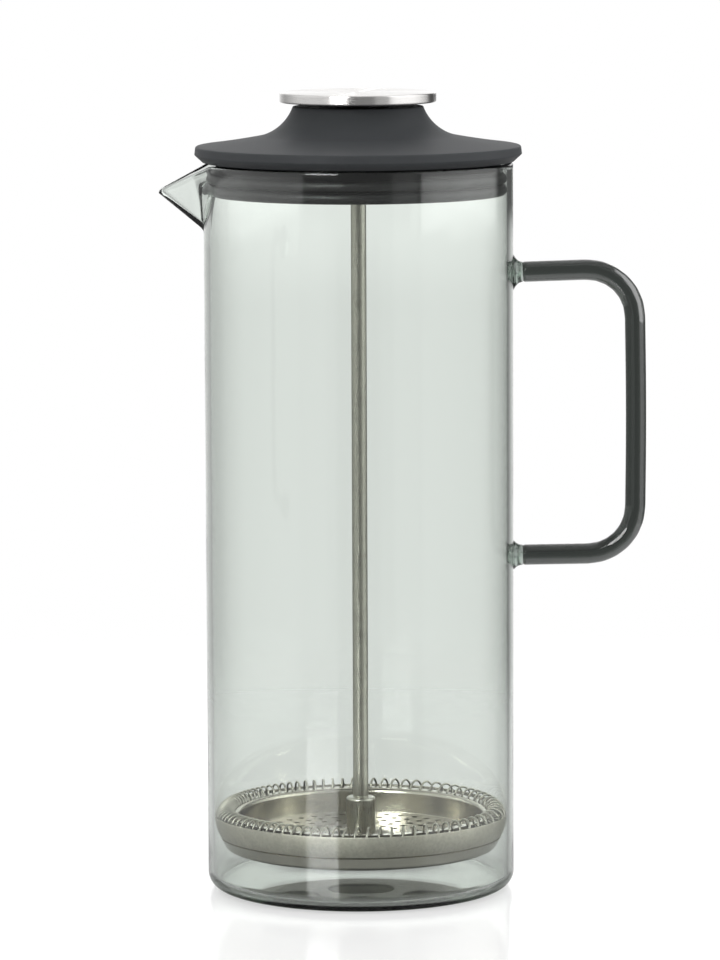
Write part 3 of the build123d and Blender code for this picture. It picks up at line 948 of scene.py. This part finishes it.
def boss_profile():
    """Collar under the knob."""
    corners = (
        (THREAD_HOLE, boss_low[2]),
        (boss_high[0], boss_low[2]),
        (boss_high[0], boss_high[2]),
        (THREAD_HOLE, boss_high[2]),
    )
    return rounded(corners, [STEEL_ROUND] * 4, closed=True)


def rod_profile():
    """Straight rod with softened ends."""
    corners = ((0, rod_low[2]), (rod_high[0], rod_low[2]), (rod_high[0], rod_high[2]), (0, rod_high[2]))
    return rounded(corners, (0, STEEL_ROUND, STEEL_ROUND, 0))


# ================================================================= filter
def hub_profile():
    """Hub with a blind threaded hole above and a stud below."""
    hub_base = hub_high[2] - HUB_HEIGHT
    corners = (
        (0, hub_high[2] - THREAD_DEPTH),
        (THREAD_HOLE, hub_high[2] - THREAD_DEPTH),
        (THREAD_HOLE, hub_high[2]),
        (hub_high[0], hub_high[2]),
        (hub_high[0], hub_base),
        (rod_high[0], hub_base),
        (rod_high[0], hub_low[2]),
        (0, hub_low[2]),
    )
    radii = (0, THREAD_ROUND, STEEL_ROUND, HUB_ROUND, STEEL_ROUND, THREAD_ROUND, STEEL_ROUND, 0)
    return rounded(corners, radii)


def coil_grid():
    """Endless wire wound round the rim: a turn's angle a grows by a full turn for each of the coil's turns.

    radius = coil radius + turn radius * cos a, height = coil plane + turn radius * sin a, and the angle
    round the rim is e + crowding * sin e, where e grows evenly, so that the turns crowd on the beak's side.
    """
    a = np.linspace(0, 2 * np.pi * COIL_TURNS, COIL_TURNS * COIL_STEPS, endpoint=False)
    even = a / COIL_TURNS
    angle = even + COIL_CROWDING * np.sin(even)
    outwards = np.stack((np.cos(angle), np.sin(angle), 0 * angle), axis=-1)
    upwards = np.array((0.0, 0.0, 1.0))
    spoke = np.cos(a)[:, None] * outwards + np.sin(a)[:, None] * upwards
    path = COIL_RADIUS * outwards + COIL_PLANE * upwards + COIL_TURN_RADIUS * spoke
    return drawn(path, np.full(len(path), COIL_WIRE / 2), spoke, COIL_COLUMNS, ring=True)


def screen_profile():
    """Wire cloth: flat on the cross plate, up inside its wall, over its rim and round the coil to a hem."""
    base, plate_base = screen_low[2], cross_low[2]
    flare = cross_high[0] - CROSS_BASE_RADIUS
    run = np.hypot(flare, CROSS_DEPTH)
    slant = flare / CROSS_DEPTH
    wall_foot = CROSS_BASE_RADIUS - (CROSS_THICKNESS + SCREEN_GAP) * run / CROSS_DEPTH
    lip = plate_base + CROSS_DEPTH + CROSS_THICKNESS * flare / run + SCREEN_GAP
    corners = (
        (SCREEN_HOLE, base),
        (wall_foot + (base - plate_base) * slant, base),
        (wall_foot + (lip - plate_base) * slant, lip),
        (cross_high[0], lip),
    )
    lower = rounded(corners, (0, SCREEN_FOOT_ROUND, SCREEN_GAP, 0))
    bowl, _ = tangent_arc((screen_high[0], COIL_PLANE), (0, -1), (cross_high[0], lip), SCREEN_BOWL_STEPS)
    hem = (screen_high[0], COIL_PLANE + SCREEN_HEM)
    return thickened(np.vstack((lower, bowl[::-1][1:], hem)), SCREEN_THICKNESS)


# ================================================================= dressing
def dress(piece, body, slot, material, *nodes):
    """Gives a new piece its finish and its body, and hides the CAD nodes that it stands for."""
    piece.data.materials.append(material)
    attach(piece, body)
    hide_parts(*nodes)


def finish_node(name, material):
    """Gives a CAD node that stays its finish."""
    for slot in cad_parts[name].material_slots:
        slot.material = material


def make_press():
    """All pieces, from the table up."""
    beaker_glass = tinted_glass(
        "beaker_glass", BEAKER_TINT, BEAKER_DENSITY, surface=BEAKER_SURFACE, cover=clear_corner
    )
    handle_glass = tinted_glass("handle_glass", HANDLE_TINT, HANDLE_DENSITY, gloss=handle_gloss)
    foot_glass = tinted_glass("foot_glass", FOOT_TINT, FOOT_DENSITY)
    rubber = black_moulding("soft_rubber", level=27, roughness=0.34)
    plastic = black_moulding("plug_plastic", level=27, roughness=0.4)
    coating = black_moulding("boss_coating", level=27, roughness=0.3)
    knob_steel = brushed_steel(
        "knob_steel",
        bright=(228, 227, 225),
        dull=(212, 210, 208),
        roughness=0.2,
        along=(0.3, 0.0, 6.0),
        depth=0.000004,
        stretch=0.9,
    )
    rod_steel = brushed_steel(
        "rod_steel", bright=(190, 188, 178), dull=(168, 166, 156), roughness=0.2, along=(6.0, 1.0, 0.15)
    )
    plate_steel = brushed_steel("plate_steel", bright=(192, 188, 177), dull=(174, 170, 159), roughness=0.13)

    beaker = skin("beaker", beaker_grid(), (0, 0, BASE_HOLLOW), (0, 0, GLASS_FLOOR))
    dress(beaker, "jug", "beaker_glass", beaker_glass, "glass_beaker")
    dress(make_handle(), "jug", "handle_glass", handle_glass, "glass_handle")
    for name, height, slope, radius in (
        ("handle_foot_top", HANDLE_TOP_WELD, HANDLE_TOP_SLOPE, WELD_TOP),
        ("handle_foot_bottom", HANDLE_BOTTOM_WELD, HANDLE_BOTTOM_SLOPE, WELD_BOTTOM),
    ):
        dress(make_foot(name, height, slope, radius), "jug", "beaker_glass", foot_glass, "glass_handle")
    dress(turned("cover", cover_profile(), LID_COLUMNS), "lid", "lid_matte", matte_cover(), "lid_shell")
    dress(turned("gasket", gasket_profile(), LID_COLUMNS), "lid", "silicone", rubber, "lid_gasket")
    finish_node("lid_plug", plastic)
    finish_node("rod_guide", plastic)
    dress(turned("disc", disc_profile(), KNOB_COLUMNS), "plunger", "knob_steel", knob_steel, "knob_disc")
    dress(turned("boss", boss_profile(), HUB_COLUMNS), "plunger", "boss_metal", coating, "knob_boss")
    dress(turned("rod", rod_profile(), ROD_COLUMNS), "plunger", "rod_steel", rod_steel, "plunger_rod")
    dress(turned("hub", hub_profile(), HUB_COLUMNS), "filter", "rod_steel", rod_steel, "filter_hub")
    dress(skin("coil", coil_grid(), ring=True), "filter", "spring_steel", spring_wire(), "coil_spring")
    screen = turned("screen", screen_profile(), SCREEN_COLUMNS)
    dress(screen, "filter", "mesh_steel", woven_steel(), "mesh_screen")
    for name in ("coil_plate", "cross_plate", "clamp_nut"):
        finish_node(name, plate_steel)


# ================================================================= studio
def ring_light(finish, turn, stops):
    """Level in a direction round the press, from a ramp over the whole turn."""
    ramp = [((angle + 180) / 360, (*[level / BRIGHTEST] * 3, 1.0)) for angle, level in stops]
    share = (turn + 180.0) / 360
    return finish.node("ShaderNodeValToRGB", {"stops": ramp}, {0: share}) * BRIGHTEST


def studio_light(finish):
    """How bright the studio is in a direction, and that direction's angle above the horizon."""
    direction = finish.node("ShaderNodeTexCoord", output="Generated")
    x, y, z = finish.parts(direction)
    turn = finish.maths("ARCTAN2", x, -y) * DEGREES
    rise = finish.maths("ARCSINE", z) * DEGREES
    upper_share = finish.step(rise, *RING_SPLIT)
    upper = ring_light(finish, turn, UPPER_RING) * (1 - finish.step(rise, *UPPER_TOP))
    lower = ring_light(finish, turn, LOWER_RING)
    across = finish.step(turn, *STRIP_LEFT) * (1 - finish.step(turn, *STRIP_RIGHT))
    up = finish.step(rise, *STRIP_BOTTOM) * (1 - finish.step(rise, *STRIP_TOP))
    light = upper_share * upper + (1 - upper_share) * lower + across * up * STRIP_LEVEL
    behind = finish.step(turn.size(), *BACK_TURN) * finish.step(rise, *BACK_RISE) * BACK_LEVEL
    return light | behind | finish.step(rise, *OVERHEAD_RISE) * OVERHEAD_LEVEL, rise


def make_world():
    """White to the camera, a pale backdrop through glass, panels in reflections, and even fill light."""
    world = bpy.data.worlds.new("studio")
    bpy.context.scene.world = world
    finish = Finish(world)

    def ray(name):
        return finish.node("ShaderNodeLightPath", output=name)

    panels, rise = studio_light(finish)
    straight = (ray("Glossy Depth") < 0.5) * (ray("Diffuse Depth") < 0.5)
    through = ray("Is Transmission Ray") * straight
    mirrored = (ray("Is Glossy Ray") | ray("Is Transmission Ray")) * (ray("Diffuse Depth") < 0.5)
    backdrop = BACKDROP_LOW + (BACKDROP_HIGH - BACKDROP_LOW) * finish.step(rise, *BACKDROP_SPLIT)
    seen = backdrop * (SEE_THROUGH + (1 - SEE_THROUGH) * panels)
    level = through * seen + (1 - through) * (mirrored * panels + (1 - mirrored) * FILL_LEVEL)
    camera = ray("Is Camera Ray")
    level = camera + (1 - camera) * level
    background = finish.node("ShaderNodeBackground", None, {"Color": level, "Strength": 1.0})
    finish.node("ShaderNodeOutputWorld", None, {"Surface": background})


def make_lamp(name, place, size, power):
    """Square soft lamp that points at the middle of the press and doesn't show in reflections."""
    lamp = bpy.data.lights.new(name, "AREA")
    lamp.shape = "SQUARE"
    lamp.size = size
    lamp.energy = power
    holder = add_object(name, lamp)
    aim = Vector((0, 0, RIM_HEIGHT / 2)) - Vector(place)
    holder.matrix_world = Matrix.Translation(place) @ aim.to_track_quat("-Z", "Y").to_matrix().to_4x4()
    holder.visible_camera = False
    holder.visible_glossy = False
    holder.visible_transmission = False


def make_floor():
    """White glossy table with the press's shadow and faint mirror image, which fades out further away."""
    angle = full_turn(FLOOR_CORNERS)
    rim = FLOOR_RADIUS * pairs(np.cos(angle), np.sin(angle))
    points = np.column_stack((rim, np.full(len(rim), -FLOOR_DROP)))
    mesh = bpy.data.meshes.new("table")
    mesh.from_pydata(points.tolist(), [], [list(range(len(points)))])
    table = add_object("table", mesh)
    material, finish = new_finish("white_table")
    camera = finish.node("ShaderNodeLightPath", output="Is Camera Ray")
    _, (x, y, _) = finish.place()
    finish.surface(
        Base_Color=(TABLE_WHITE, TABLE_WHITE, TABLE_WHITE, 1.0),
        Roughness=TABLE_ROUGHNESS,
        Emission_Color=camera * TABLE_GLOW,
        Emission_Strength=1.0,
        Alpha=1 - finish.step(finish.from_axis(x, y), *TABLE_FADE),
    )
    mesh.materials.append(material)


def make_camera():
    """Long lens, a little above the press and looking slightly down."""
    lens = bpy.data.cameras.new("camera")
    lens.lens = CAMERA_LENS
    lens.clip_end = CAMERA_REACH
    camera = add_object("camera", lens)
    camera.matrix_world = (
        Matrix.Translation((CAMERA_SIDE, -CAMERA_DISTANCE, CAMERA_HEIGHT))
        @ Matrix.Rotation(np.pi / 2 - CAMERA_PITCH, 4, "X")
        @ Matrix.Rotation(CAMERA_ROLL, 4, "Z")
    )
    bpy.context.scene.camera = camera


make_camera()
make_world()
make_floor()
for lamp_name, lamp_place, lamp_size, lamp_power in LAMPS:
    make_lamp(lamp_name, lamp_place, lamp_size, lamp_power)
make_press()
bpy.context.scene.view_settings.view_transform = "Standard"
